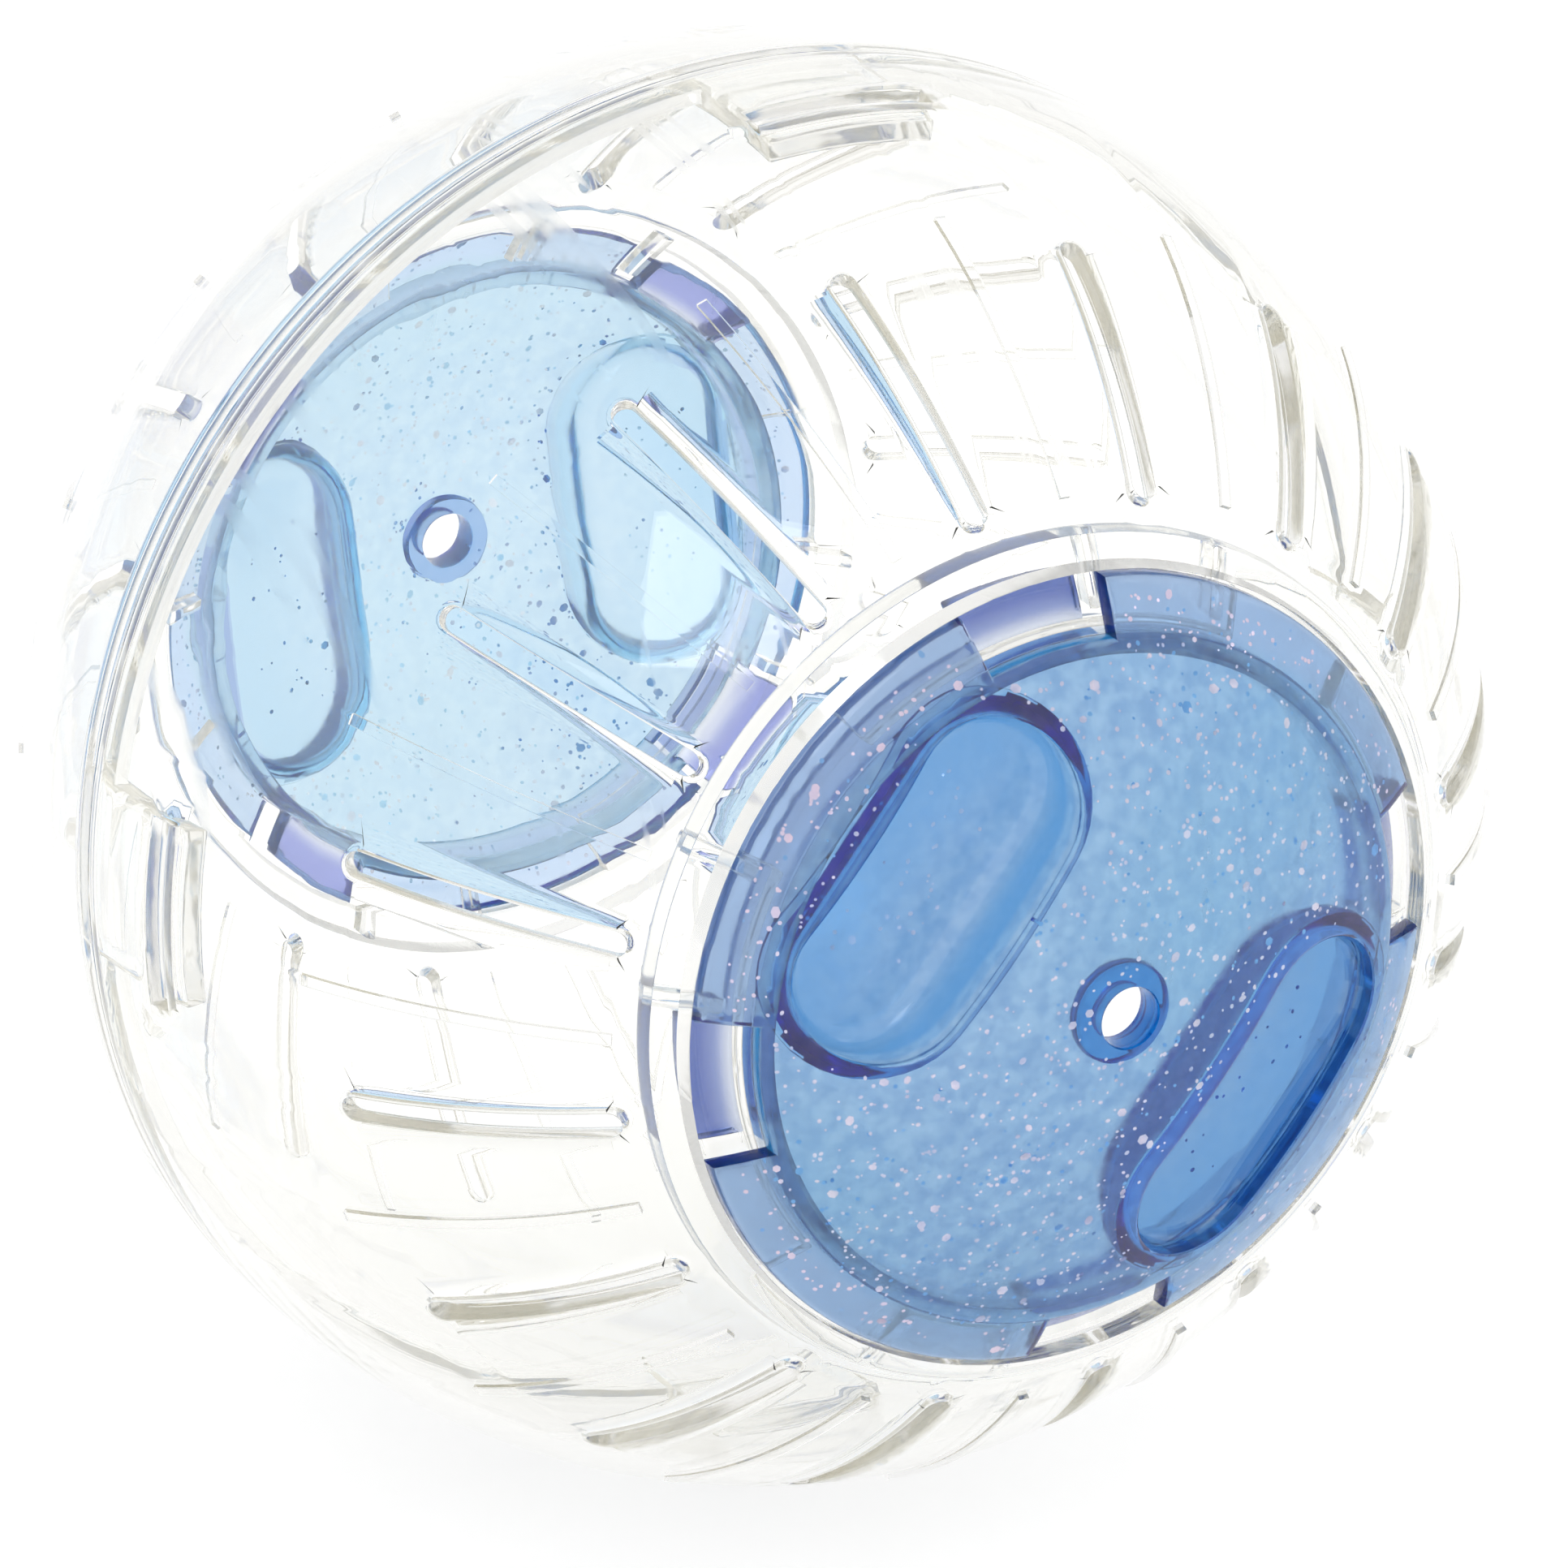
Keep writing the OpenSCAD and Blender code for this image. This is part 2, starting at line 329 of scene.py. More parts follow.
def seat_turns(marks):
    """Turns of the seat's columns across the quarter, with one on each marked turn."""
    columns = SECTORS * WallRow.steps()
    span = SECTOR * SECTORS
    known = {0: QUARTER_FROM, columns: QUARTER_FROM + span}
    for mark in sorted(marks):
        known[round((mark - QUARTER_FROM) / span * columns)] = mark
    indices = sorted(known)
    turns = []
    for low, high in zip(indices, indices[1:]):
        for i in range(low, high):
            share = (i - low) / (high - low)
            turns.append(known[low] + share * (known[high] - known[low]))
    turns.append(QUARTER_FROM + span)
    return turns


def into_quarter(turn):
    """The same turn, less whole quarters, within the quarter that is modelled."""
    return (turn - QUARTER_FROM) % 90 + QUARTER_FROM


def shell_quarter(name, locked_at, rear):
    """Grid of one quarter of a half, from the seam over the outside and back up the inside."""
    clip_half = CLIP_HALF if rear else WINDOW_HALF
    entry_mid = into_quarter(locked_at + OPEN_TURN + ENTRY_TURN)
    notch = (entry_mid - ENTRY_SPAN / 2, entry_mid + ENTRY_SPAN / 2)
    stops = [into_quarter(locked_at - STOP_TURN), into_quarter(locked_at + OPEN_TURN + STOP_TURN)]
    marks = [*notch, *(stop + side * STOP_HALF for stop in stops for side in (-1, 1))]
    turns = seat_turns(marks)
    window_zs = [HOOK_Z - CLIP_GAP, (HOOK_Z + HOOK_TOP_Z) / 2, HOOK_TOP_Z + CLIP_GAP]
    seam_angle = lambda ball: math.degrees(math.acos(SEAM_GAP / ball))
    seat_angle = math.degrees(math.asin(SEAT_R / BALL_R))
    riser_angle = math.degrees(math.asin(RISER_R / INNER_R))

    outer_wall = [WallRow(BALL_R, seat_angle)]
    outer_wall += wall_rows(BALL_R, seat_angle, LAST_ANGLE, window_zs)
    outer_wall.append(WallRow(BALL_R, seam_angle(BALL_R)))
    inner_wall = wall_rows(INNER_R, riser_angle, LAST_LIP_ANGLE if rear else LAST_ANGLE, window_zs)
    if not rear:
        inner_wall.append(WallRow(INNER_R, seam_angle(INNER_R)))

    rows = [row.points(clip_half) for row in reversed(outer_wall)]
    ledge = [(LEDGE_TOP_R, r) for r in (SEAT_R, NOTCH_R, LEDGE_MID_R, STOP_FROM_R, OPENING_R)]
    low_side = (OPENING_R, STOP_FROM_R, LEDGE_MID_R, NOTCH_R, STOP_TO_R, RISER_R)
    ledge += [(LEDGE_LOW_R, r) for r in low_side]
    for ball, r in ledge:
        rows.append([polar(r, turn, height(ball, r)) for turn in turns])
    riser_turns = [turn_of(place) for place in WallRow(INNER_R, riser_angle).points(clip_half)]
    rows.append([polar(RISER_R, turn, height(INNER_R, RISER_R)) for turn in riser_turns])
    rows += [row.points(clip_half) for row in inner_wall]
    if rear:
        lip_inner = LIP_R - LIP_T
        lip = [(INNER_R, LIP_FOOT_Z), (lip_inner, LIP_FOOT_Z), (lip_inner, LIP_MID_Z)]
        lip += [(lip_inner, -LIP_REACH), (LIP_R, -LIP_REACH), (LIP_R, SEAM_GAP)]
        seam_turns = [turn_of(place) for place in rows[0]]
        for ball, z in lip:
            rows.append([polar(height(ball, z), turn, z) for turn in seam_turns])
    rows.append(rows[0])
    return grid_skin(name, rows), notch, stops


def cut_slots(obj):
    """Opens the four vent slots of a quarter, and walls them."""
    for sector in range(SECTORS):
        turn = QUARTER_FROM + SECTOR * (sector + 0.5)
        along, across, out = slot_axes(turn)

        def in_slot(place, grow=0.0):
            past = max(0.0, abs(place.dot(along)) - VENT_HALF_STRAIGHT)
            return place.dot(out) > 0 and math.hypot(past, place.dot(across)) < VENT_HALF_W + grow

        select_faces(obj, in_slot)
        bpy.ops.mesh.delete(type="FACE")
        select_open_edges(obj, lambda place: in_slot(place, ON_EDGE))
        bpy.ops.mesh.bridge_edge_loops()


def cut_notch(obj, notch):
    """Opens a lug's way in through the ledge, and walls it."""

    def in_ledge(place, turn_grow=0.0, r_grow=0.0):
        turn = into_quarter(turn_of(place))
        low, high = notch[0] - turn_grow, notch[1] + turn_grow
        return low < turn < high and math.hypot(place.x, place.y) < NOTCH_R + r_grow and place.z > 0

    select_faces(obj, in_ledge)
    bpy.ops.mesh.delete(type="FACE")

    def on_sphere(ball):
        return lambda place: in_ledge(place, ON_EDGE_TURN, ON_EDGE) and abs(place.length - ball) < ON_EDGE

    select_open_edges(obj, on_sphere(LEDGE_TOP_R), on_sphere(LEDGE_LOW_R))
    bpy.ops.mesh.bridge_edge_loops()


def cut_window(obj):
    """Opens the window that a clip's hook snaps into."""
    low_z, high_z = HOOK_Z - CLIP_GAP, HOOK_TOP_Z + CLIP_GAP

    def in_window(place, grow=0.0):
        return abs(turn_of(place)) < WINDOW_HALF + grow and low_z - grow < place.z < high_z + grow

    select_faces(obj, in_window)
    bpy.ops.mesh.delete(type="FACE")
    select_open_edges(obj, lambda place: in_window(place, ON_EDGE))
    bpy.ops.mesh.bridge_edge_loops()


def hang_stops(obj, stops):
    """Pulls the two stops of a quarter down from the ledge."""
    for stop in stops:

        def under(place):
            r = math.hypot(place.x, place.y)
            near = abs(into_quarter(turn_of(place)) - stop) < STOP_HALF and STOP_FROM_R < r < STOP_TO_R
            return near and abs(place.length - LEDGE_LOW_R) < ON_FACE

        select_faces(obj, under)
        bpy.ops.mesh.extrude_region_move()

        def lowered(place):
            r = math.hypot(place.x, place.y)
            return Vector((place.x, place.y, height(STOP_LOW_R, r)))

        move_selected(obj, lowered)


def pull_tongue(obj):
    """Draws a snap tongue out of the lip, thickens it inwards and raises its hook."""
    lip_inner = LIP_R - LIP_T
    tongue_inner = TONGUE_R - TONGUE_T
    outer_limit = (lip_inner + LIP_R) / 2 - 0.3
    in_span = lambda place: abs(turn_of(place)) < CLIP_HALF

    def on_inside(place):
        near = abs(place.length - lip_inner) < ON_FACE
        return near and in_span(place) and place.z < LIP_FOOT_Z - ON_FACE

    select_faces(obj, on_inside)
    bpy.ops.mesh.extrude_region_move()
    move_selected(obj, lambda place: polar_shift(place, height(tongue_inner, place.z)))

    level = -LIP_REACH
    for row_z in (*TONGUE_ROW_ZS, HOOK_Z, HOOK_Z + HOOK_LAND, HOOK_TOP_Z, TONGUE_Z):
        z = -row_z
        select_faces(obj, lambda place: in_span(place) and abs(place.z - level) < ON_EDGE / 2)
        bpy.ops.mesh.extrude_region_move()

        def drawn(place):
            r_outer, r_inner = height(TONGUE_R, z), height(tongue_inner, z)
            near_outer = place.length > outer_limit
            return polar_shift(Vector((place.x, place.y, z)), r_outer if near_outer else r_inner)

        move_selected(obj, drawn)
        level = z

    def on_hook(place):
        return in_span(place) and -HOOK_TOP_Z < place.z < -HOOK_Z and place.length > TONGUE_R - 0.3

    select_faces(obj, on_hook)
    bpy.ops.mesh.extrude_region_move()

    def raised(place):
        up = HOOK_H if place.z > -HOOK_TOP_Z + ON_FACE else 0.0
        return polar_shift(place, math.hypot(place.x, place.y) + up)

    move_selected(obj, raised)


def polar_shift(place, r):
    """The point moved straight out or in to a distance from the axis."""
    share = r / math.hypot(place.x, place.y)
    return Vector((place.x * share, place.y * share, place.z))


def whole_from_quarters(obj):
    """Copies a quarter round the pole and joins the four."""
    pick(obj)
    quarters = [obj]
    for i in range(1, 4):
        copy = obj.copy()
        copy.data = obj.data.copy()
        copy.data.transform(Matrix.Rotation(math.radians(90 * i), 4, "Z"))
        bpy.context.collection.objects.link(copy)
        quarters.append(copy)
    for quarter in quarters:
        quarter.select_set(True)
    bpy.ops.object.join()
    merge(obj)


def raise_ribs(obj):
    """Lifts the thin grip ribs out of the wall, midway between the slots."""
    from_angle, to_angle = VENT_AT - RIB_BACK, VENT_AT + RIB_ON

    def on_rib(place):
        turn = turn_of(place) % SECTOR
        aside = min(turn, SECTOR - turn)
        r = math.hypot(place.x, place.y)
        angle = math.degrees(math.atan2(r, place.z))
        narrow = r * math.sin(math.radians(aside)) < RIB_HALF_W
        return narrow and from_angle < angle < to_angle and place.length > BALL_R - ON_FACE

    bpy.ops.object.mode_set(mode="EDIT")
    select_faces(obj, on_rib)
    bpy.ops.mesh.extrude_region_shrink_fatten(TRANSFORM_OT_shrink_fatten={"value": RIB_H})
    bpy.ops.object.mode_set(mode="OBJECT")


def clear_half(name, locked_at, rear, matrix):
    obj, notch, stops = shell_quarter(name, locked_at, rear)
    merge(obj)
    bpy.ops.object.mode_set(mode="EDIT")
    cut_slots(obj)
    cut_notch(obj, notch)
    hang_stops(obj, stops)
    if rear:
        pull_tongue(obj)
    else:
        cut_window(obj)
    bpy.ops.object.mode_set(mode="OBJECT")
    whole_from_quarters(obj)
    apply_modifier(
        obj, "BEVEL", width=EDGE_ROUND, segments=2, limit_method="ANGLE",
        angle_limit=SHARP_FROM, use_clamp_overlap=False,
    )
    raise_ribs(obj)
    return set_in_place(obj, matrix)


def arc(r, from_turn, to_turn, step=2.2):
    """Points of an arc in plan, both ends included."""
    count = max(2, round(abs(to_turn - from_turn) / step))
    turns = [from_turn + (to_turn - from_turn) * i / count for i in range(count + 1)]
    return [polar(r, turn, 0) for turn in turns]


def rim_outline():
    """The lid's rim in plan, with its four windows cut back to the skirt."""
    made = []
    for i in range(LUG_COUNT):
        lug = LUG_TURN + 90 * i
        start, end = lug - LUG_WINDOW_HALF, lug + LUG_WINDOW_HALF
        between = (LID_R + WINDOW_BACK_R) / 2
        made += arc(LID_R, lug - 90 + LUG_WINDOW_HALF, start)
        made.append(polar(between, start, 0))
        made += arc(WINDOW_BACK_R, start, end)
        made.append(polar(between, end, 0))
    return made


# Steps along the straight side of a pocket
STRAIGHT_STEPS = 10


def obround_outline(middle_x):
    """A pocket's outline in plan."""
    made = []
    half = POCKET_STRAIGHT / 2
    for side in (1, -1):
        first = 0 if side > 0 else 180
        for place in arc(POCKET_HALF_W, first, first + 180, step=9):
            made.append(place + Vector((middle_x, side * half, 0)))
        for i in range(1, STRAIGHT_STEPS):
            y = side * half * (1 - 2 * i / STRAIGHT_STEPS)
            made.append(Vector((middle_x - side * POCKET_HALF_W, y, 0)))
    return made


def offset_outline(outline, distance):
    """The outline moved outwards along its corners' own directions."""
    made = []
    for i, place in enumerate(outline):
        before, after = outline[i - 1], outline[(i + 1) % len(outline)]
        normals = []
        for a, b in ((before, place), (place, after)):
            d = (b - a).normalized()
            normals.append(Vector((d.y, -d.x, 0)))
        mitre = normals[0] + normals[1]
        mitre = mitre / mitre.length_squared * 2
        made.append(place + mitre * distance)
    return made


def on_dome(ball, below=0.0):
    """Function that sets a plan point on a dome, or a little below it."""
    return lambda place: Vector((place.x, place.y, height(ball, math.hypot(place.x, place.y)) - below))


def at_height(z, ceiling=None):
    """Function that sets a plan point at a height, but no higher than a dome."""

    def lift(place):
        level = z
        if ceiling:
            level = min(z, height(ceiling, math.hypot(place.x, place.y)))
        return Vector((place.x, place.y, level))

    return lift


def add_rings(mesh, outline, steps):
    """Sweeps steps of (offset, lift) round an outline, and returns the first and last ring."""
    rings = []
    for distance, lift in steps:
        rings.append([mesh.verts.new(lift(place)) for place in offset_outline(outline, distance)])
    for low, high in zip(rings, rings[1:]):
        for i in range(len(low)):
            j = (i + 1) % len(low)
            mesh.faces.new((low[i], low[j], high[j], high[i]))
    return rings[0], rings[-1]


def inside(place, ring):
    """True if a plan point lies inside a ring of points."""
    odd = False
    for i, a in enumerate(ring):
        b = ring[i - 1]
        if (a.y > place.y) != (b.y > place.y):
            if place.x < (b.x - a.x) * (place.y - a.y) / (b.y - a.y) + a.x:
                odd = not odd
    return odd


def near_ring(place, ring, distance):
    for i, a in enumerate(ring):
        b = ring[i - 1]
        d = b - a
        t = max(0.0, min(1.0, (place - a).dot(d) / max(d.length_squared, 1e-9)))
        if (place - a - t * d).length < distance:
            return True
    return False


def fill_dome(mesh, outer, holes, lift, pitch=1.5, clearance=0.85):
    """Fills the dome between an outer ring and its holes with a lattice of triangles."""
    rings = [outer, *holes]
    plans = [[Vector((v.co.x, v.co.y)) for v in ring] for ring in rings]
    vertices = [v for ring in rings for v in ring]
    coords = [p for plan in plans for p in plan]
    edges = []
    start = 0
    for plan in plans:
        edges += [(start + i, start + (i + 1) % len(plan)) for i in range(len(plan))]
        start += len(plan)
    reach = math.ceil(LID_R / pitch) + 2
    for row in range(-reach, reach + 1):
        for column in range(-reach, reach + 1):
            place = Vector(((column + 0.5 * (row % 2)) * pitch, row * pitch * math.sqrt(0.75)))
            if place.length > LID_R or not inside(place, plans[0]):
                continue
            if any(inside(place, plan) for plan in plans[1:]):
                continue
            if any(near_ring(place, plan, clearance) for plan in plans):
                continue
            coords.append(place)
            vertices.append(mesh.verts.new(lift(place.to_3d())))
    result = delaunay_2d_cdt(coords, edges, [], 0, 1e-6)
    places, faces, origins = result[0], result[2], result[3]
    for face in faces:
        middle = sum((places[i] for i in face), Vector((0, 0))) / len(face)
        if not inside(middle, plans[0]) or any(inside(middle, plan) for plan in plans[1:]):
            continue
        mesh.faces.new([vertices[origins[i][0]] for i in face])


# A rounded edge in four points: shares of its radius out and down
ROUND_SHARES = ((1.0, 0.0), (0.5, 0.1), (0.13, 0.45), (0.0, 1.0))

# A small fillet under the dome in three points: out and down
FOOT_FILLET = ((0.5, 0.0), (0.13, 0.12), (0.0, 0.45))
HUB_FILLET = ((0.4, 0.0), (0.1, 0.12), (0.0, 0.4))


def pocket_steps():
    """Section of a pocket's inside: rounded mouth, straight wall and rounded floor edge."""
    steps = [(MOUTH_ROUND * out, on_dome(BALL_R, MOUTH_ROUND * down)) for out, down in ROUND_SHARES]
    for i in range(5):
        a = math.radians(90 * i / 4)
        z = POCKET_FLOOR_Z + POCKET_FILLET * (1 - math.sin(a))
        steps.append((-POCKET_FILLET * (1 - math.cos(a)), at_height(z)))
    return steps


def cup_steps():
    """Section of the cup's outside, from the dome's underside down to its flat bottom."""
    fillet = POCKET_FILLET + CUP_T
    low = POCKET_FLOOR_Z - CUP_T
    steps = [(CUP_T + out, on_dome(LID_INNER_R, down)) for out, down in FOOT_FILLET]
    ceiling = LID_INNER_R - FOOT_FILLET[-1][1]
    for i in range(6):
        a = math.radians(90 * i / 5)
        z = low + fillet * (1 - math.sin(a))
        steps.append((CUP_T - fillet * (1 - math.cos(a)), at_height(z, ceiling)))
    return steps


def hub_steps():
    """Section of the hub and its hole, from the dome's underside through to its top, out from the hole."""
    hub = HUB_R - HOLE_R
    return [
        *((hub + out, on_dome(LID_INNER_R, down)) for out, down in HUB_FILLET),
        (hub, at_height(HUB_LOW_Z + 0.2)),
        (hub - 0.06, at_height(HUB_LOW_Z + 0.06)),
        (hub - 0.2, at_height(HUB_LOW_Z)),
        (0.25, at_height(HUB_LOW_Z)),
        (0.07, at_height(HUB_LOW_Z + 0.07)),
        (0.0, at_height(HUB_LOW_Z + 0.25)),
        (0.0, on_dome(BALL_R, 0.3)),
        (0.09, on_dome(BALL_R, 0.09)),
        (0.3, on_dome(BALL_R)),
    ]


def rim_steps():
    """Section of the rim, from the dome's top round its edge to the underside."""
    return [
        *((-LID_ROUND * out, on_dome(BALL_R, LID_ROUND * down)) for out, down in ROUND_SHARES),
        (0.0, on_dome(LID_INNER_R, -0.3)),
        (-0.09, on_dome(LID_INNER_R, -0.09)),
        (-0.3, on_dome(LID_INNER_R)),
    ]


def lid_cap():
    """The dome with its rim, finger pockets, hub and hole, as one closed skin."""
    mesh = bmesh.new()
    top_rim, low_rim = add_rings(mesh, rim_outline(), rim_steps())
    mouths, cups = [], []
    for side in (-1, 1):
        outline = obround_outline(side * POCKET_OFF)
        mouth, floor = add_rings(mesh, outline, pocket_steps())
        mesh.faces.new(floor)
        cup, bottom = add_rings(mesh, outline, cup_steps())
        mesh.faces.new(bottom)
        mouths.append(mouth)
        cups.append(cup)
    hub, hole = add_rings(mesh, arc(HOLE_R, 0, 360 - HOLE_STEP, HOLE_STEP), hub_steps())
    fill_dome(mesh, top_rim, [*mouths, hole], on_dome(BALL_R))
    fill_dome(mesh, low_rim, [*cups, hub], on_dome(LID_INNER_R))
    bmesh.ops.remove_doubles(mesh, verts=mesh.verts, dist=0.0005)
    bmesh.ops.recalc_face_normals(mesh, faces=mesh.faces)
    data = bpy.data.meshes.new("lid_cap")
    mesh.to_mesh(data)
    mesh.free()
    obj = bpy.data.objects.new("lid_cap", data)
    bpy.context.collection.objects.link(obj)
    return obj


def lug_middle(r):
    """Height of the middle of a lug at a distance from the axis."""
    return (height(LUG_TOP_R, r) + height(LUG_LOW_R, r)) / 2


def lid_skirt():
    """The skirt that stands in the ball's mouth, with its four locking lugs."""
    known = [LUG_TURN + 90 * i + side * LUG_HALF for i in range(-1, LUG_COUNT) for side in (-1, 1)]
    turns = []
    for low, high in zip(known, known[1:]):
        count = round((high - low) / 2.5)
        turns += [low + (high - low) * i / count for i in range(count)]
    turns = [turn for turn in turns if turn < known[0] + 360 - 0.01] + [known[0] + 360]
    section = [
        (SKIRT_INNER_R, SKIRT_TOP_R), (SKIRT_R, SKIRT_TOP_R),
        (SKIRT_R, LUG_TOP_R), (SKIRT_R, LUG_LOW_R), (SKIRT_INNER_R, LUG_LOW_R),
    ]
    rows = [[polar(r, turn, height(ball, r)) for turn in turns] for r, ball in [*section, section[0]]]
    obj = grid_skin("lid_skirt", rows)
    merge(obj)
    bpy.ops.object.mode_set(mode="EDIT")
    for i in range(LUG_COUNT):
        lug = LUG_TURN + 90 * i

        def on_lug(place):
            aside = abs((turn_of(place) - lug + 180) % 360 - 180)
            outer = math.hypot(place.x, place.y) > SKIRT_R - 0.3
            return outer and aside < LUG_HALF and abs(place.z - lug_middle(SKIRT_R)) < 0.4

        select_faces(obj, on_lug)
        reach = SKIRT_R
        for r in ((SKIRT_R + LUG_TIP_R) / 2, LUG_TIP_R):
            bpy.ops.mesh.extrude_region_move()

            def drawn(place):
                ball = LUG_TOP_R if place.z > lug_middle(reach) else LUG_LOW_R
                moved = polar_shift(place, r)
                return Vector((moved.x, moved.y, height(ball, r)))

            move_selected(obj, drawn)
            reach = r
    bpy.ops.object.mode_set(mode="OBJECT")
    merge(obj)
    apply_modifier(
        obj, "BEVEL", width=SKIRT_ROUND, segments=2, limit_method="ANGLE",
        angle_limit=SHARP_FROM, use_clamp_overlap=False,
    )
    return obj


# How strongly a lid's edges take the painted edge shade, a dark colour standing in for the shade of
# edge-on walls: the hub and the windows' walls fully, these in part.
# A face is a wall if it leans by more than WALL_LEAN allows, and the rim is RIM_BAND wide.
RIM_EDGE_SHADE = 0.5
POCKET_EDGE_SHADE = 0.7
POCKET_EDGE_SHADE_RISE = 1.5
RIM_BAND = 0.4
WALL_LEAN = 0.6


def from_nearest_lug(turn):
    """How many degrees a turn lies from the middle of the nearest lug."""
    return abs((turn - LUG_TURN + 45) % 90 - 45)


def edge_mark(place, wall):
    """How much painted shade an edge takes at a place: the hub, the rim's windows, the rim, or a pocket's
    outer wall, growing towards its outer side.
    """
    r = math.hypot(place.x, place.y)
    if r < HUB_R + 0.2:
        return 1.0 if wall or place.length < LID_INNER_R - 0.3 else 0.0
    if not wall:
        return 0.0
    if r > LID_R - RIM_BAND:
        return RIM_EDGE_SHADE
    if r > SKIRT_R - 0.1 and from_nearest_lug(turn_of(place)) < LUG_WINDOW_HALF + 0.3:
        return 1.0
    if abs(place.x) > POCKET_OFF and r < SKIRT_INNER_R - 0.2:
        return POCKET_EDGE_SHADE * min(1.0, POCKET_EDGE_SHADE_RISE * (abs(place.x) - POCKET_OFF) / POCKET_HALF_W)
    return 0.0


def mark_edges(obj):
    """Keeps each face's painted edge shade on the mesh, for the lid's colour."""
    marks = obj.data.attributes.new("Edges", "FLOAT", "FACE")
    for face, mark in zip(obj.data.polygons, marks.data):
        leans = abs(face.normal.dot(face.center.normalized())) < WALL_LEAN
        mark.value = edge_mark(face.center, leans)


def twist_lid(name, turn, matrix):
    """The lid's dome, and the skirt with the lugs, whose top runs a little way up into the dome."""
    placed = matrix @ Matrix.Rotation(math.radians(turn), 4, "Z")
    made = []
    for obj, ending in ((lid_cap(), ""), (lid_skirt(), "_skirt")):
        obj.name = obj.data.name = name + ending
        merge(obj)
        mark_edges(obj)
        made.append(set_in_place(obj, placed))
    return made


front_half = clear_half("front_clear_half", FRONT_LID_TURN + LUG_TURN, rear=False, matrix=TO_FRONT)
rear_half = clear_half("rear_clear_half", REAR_LID_TURN + LUG_TURN, rear=True, matrix=TO_REAR)
front_cap, front_skirt = twist_lid("front_twist_lid", FRONT_LID_TURN, TO_FRONT)
rear_cap, rear_skirt = twist_lid("rear_twist_lid", REAR_LID_TURN, TO_REAR)


# Flakes of glitter set in the lids' plastic
FLAKE_T = 0.03
FLAKE_COUNT = 1500
FLOOR_FLAKE_COUNT = 36
FLAKE_R = (0.10, 0.24)
LARGE_FLAKE_R = (0.34, 0.52)
LARGE_FLAKE_SHARE = 0.05
FLAKE_TILT = 6.0
FLAKE_DEPTHS = (0.09, 0.16)
DEEP_FLAKE_DEPTHS = (1.4, 1.64)
FLAKE_EDGE = 1.0
RIM_EDGE = 1.2
WINDOW_EDGE = 0.8
WINDOW_EDGE_TURN = 2
FLOOR_HALF_W = 3.6
FLOOR_HALF_L = 9
FLAKE_WIDTHS = (0.7, 1.0)


def flake_places(draw, deep_share):
    """Middles of the flakes in one lid: near the dome's outside, near its inside, and in the floors."""
    places = []
    while len(places) < FLAKE_COUNT:
        r = (LID_R - RIM_EDGE) * math.sqrt(draw.random())
        turn = draw.uniform(0, 360)
        place = polar(r, turn, 0)
        past_straight = max(0.0, abs(place.y) - POCKET_STRAIGHT / 2)
        in_pocket = math.hypot(abs(place.x) - POCKET_OFF, past_straight) < POCKET_HALF_W + FLAKE_EDGE
        near_window = from_nearest_lug(turn) < LUG_WINDOW_HALF + WINDOW_EDGE_TURN
        in_window = near_window and r > WINDOW_BACK_R - WINDOW_EDGE
        if in_pocket or r < HOLE_R + FLAKE_EDGE or in_window:
            continue
        depths = DEEP_FLAKE_DEPTHS if draw.random() < deep_share else FLAKE_DEPTHS
        places.append(Vector((place.x, place.y, height(BALL_R - draw.uniform(*depths), r))))
    for side in (-1, 1):
        for _ in range(FLOOR_FLAKE_COUNT):
            x = side * (POCKET_OFF + draw.uniform(-FLOOR_HALF_W, FLOOR_HALF_W))
            z = POCKET_FLOOR_Z - draw.uniform(*FLAKE_DEPTHS)
            places.append(Vector((x, draw.uniform(-FLOOR_HALF_L, FLOOR_HALF_L), z)))
    return places


def glitter(name, turn, matrix, seed, deep_share):
    """Thin six-sided flakes of one lid, as one piece."""
    draw = random.Random(seed)
    bpy.ops.mesh.primitive_cylinder_add(vertices=6, radius=1, depth=FLAKE_T)
    first = bpy.context.object
    flakes = bmesh.new()
    for place in flake_places(draw, deep_share):
        large = draw.random() < LARGE_FLAKE_SHARE
        r = draw.uniform(*(LARGE_FLAKE_R if large else FLAKE_R))
        lie = place.normalized().to_track_quat("Z", "Y").to_matrix().to_4x4()
        tilt = Matrix.Rotation(math.radians(draw.uniform(-FLAKE_TILT, FLAKE_TILT)), 4, "X")
        spin = Matrix.Rotation(draw.uniform(0, math.tau), 4, "Z")
        size = Matrix.Diagonal((r, r * draw.uniform(*FLAKE_WIDTHS), 1, 1))
        before = len(flakes.verts)
        flakes.from_mesh(first.data)
        flakes.verts.ensure_lookup_table()
        put = Matrix.Translation(place) @ lie @ spin @ tilt @ size
        for vertex in flakes.verts[before:]:
            vertex.co = put @ vertex.co
    flakes.to_mesh(first.data)
    flakes.free()
    first.name = first.data.name = name
    first.data.transform(Matrix.Scale(MM, 4) @ matrix @ Matrix.Rotation(math.radians(turn), 4, "Z"))
    first.data.update()
    return first


front_glitter = glitter("front_lid_glitter", FRONT_LID_TURN, TO_FRONT, seed=7, deep_share=0.15)
rear_glitter = glitter("rear_lid_glitter", REAR_LID_TURN, TO_REAR, seed=8, deep_share=0.6)


# Finishes
def new_group(name, inputs, outputs):
    """A node group with named number, vector or colour sockets."""
    kinds = {"value": "NodeSocketFloat", "vector": "NodeSocketVector", "colour": "NodeSocketColor"}
    group = bpy.data.node_groups.new(name, "ShaderNodeTree")
    for socket, kind in inputs.items():
        group.interface.new_socket(socket, in_out="INPUT", socket_type=kinds[kind])
    for socket, kind in outputs.items():
        group.interface.new_socket(socket, in_out="OUTPUT", socket_type=kinds[kind])
    return group, group.nodes.new("NodeGroupInput"), group.nodes.new("NodeGroupOutput")


